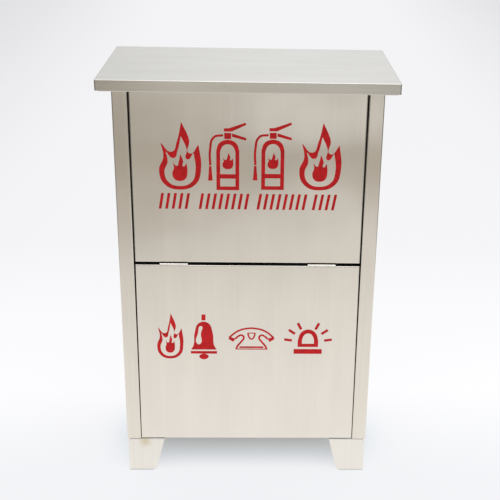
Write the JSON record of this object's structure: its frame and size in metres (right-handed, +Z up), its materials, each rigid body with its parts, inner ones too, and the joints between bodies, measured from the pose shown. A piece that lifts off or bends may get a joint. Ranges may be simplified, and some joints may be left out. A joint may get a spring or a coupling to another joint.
{
  "type": "fire extinguisher cabinet",
  "caption": "Floor-standing stainless sheet cabinet for fire extinguishers, with a lift-up overhanging lid, a drop-down upper front flap, a fixed lower front panel and bent sheet feet.",
  "frame": {"origin": "on the floor under the middle of the cabinet's overall box", "axes": "+Z up, -Y out of the front, +X to the right of a person who faces the front"},
  "size_m": [0.386, 0.2205, 0.5895],
  "materials": {
    "steel_front": "satin brushed stainless sheet",
    "steel_side": "satin brushed stainless sheet",
    "steel_lid": "satin brushed stainless sheet",
    "steel_feet": "satin brushed stainless sheet",
    "steel_inside": "mill finish stainless sheet",
    "hinge_steel": "bright rolled steel"
  },
  "bodies": {
    "cabinet": {"left_side_panel": "steel_side", "right_side_panel": "steel_side", "back_panel": "steel_inside", "floor_panel": "steel_inside", "lower_front_panel": "steel_front", "foot_front_left": "steel_feet", "foot_front_right": "steel_feet", "foot_rear_left": "steel_feet", "foot_rear_right": "steel_feet", "flap_hinge_left_lower_leaf": "hinge_steel", "flap_hinge_left_pin": "hinge_steel", "lid_hinge_left_back_leaf": "hinge_steel", "lid_hinge_left_pin": "hinge_steel", "flap_hinge_right_lower_leaf": "hinge_steel", "flap_hinge_right_pin": "hinge_steel", "lid_hinge_right_back_leaf": "hinge_steel", "lid_hinge_right_pin": "hinge_steel"},
    "lid": {"lid": "steel_lid", "lid_hinge_left_lid_leaf": "hinge_steel", "lid_hinge_right_lid_leaf": "hinge_steel"},
    "flap": {"front_flap": "steel_front", "flap_hinge_left_upper_leaf": "hinge_steel", "flap_hinge_right_upper_leaf": "hinge_steel"}
  },
  "joints": [
    {"name": "lid_hinge", "type": "hinge", "parent": "cabinet", "child": "lid", "pos_m": [0, 0.10875, 0.5745], "axis": [-1, 0, 0], "range_deg": [0, 100]},
    {"name": "flap_hinge", "type": "hinge", "parent": "cabinet", "child": "flap", "pos_m": [0, -0.09325, 0.33275], "axis": [1, 0, 0], "range_deg": [0, 170]}
  ],
  "couplings": [
    {"joint": "flap_hinge", "follows": "lid_hinge", "ratio": 1.7}
  ]
}
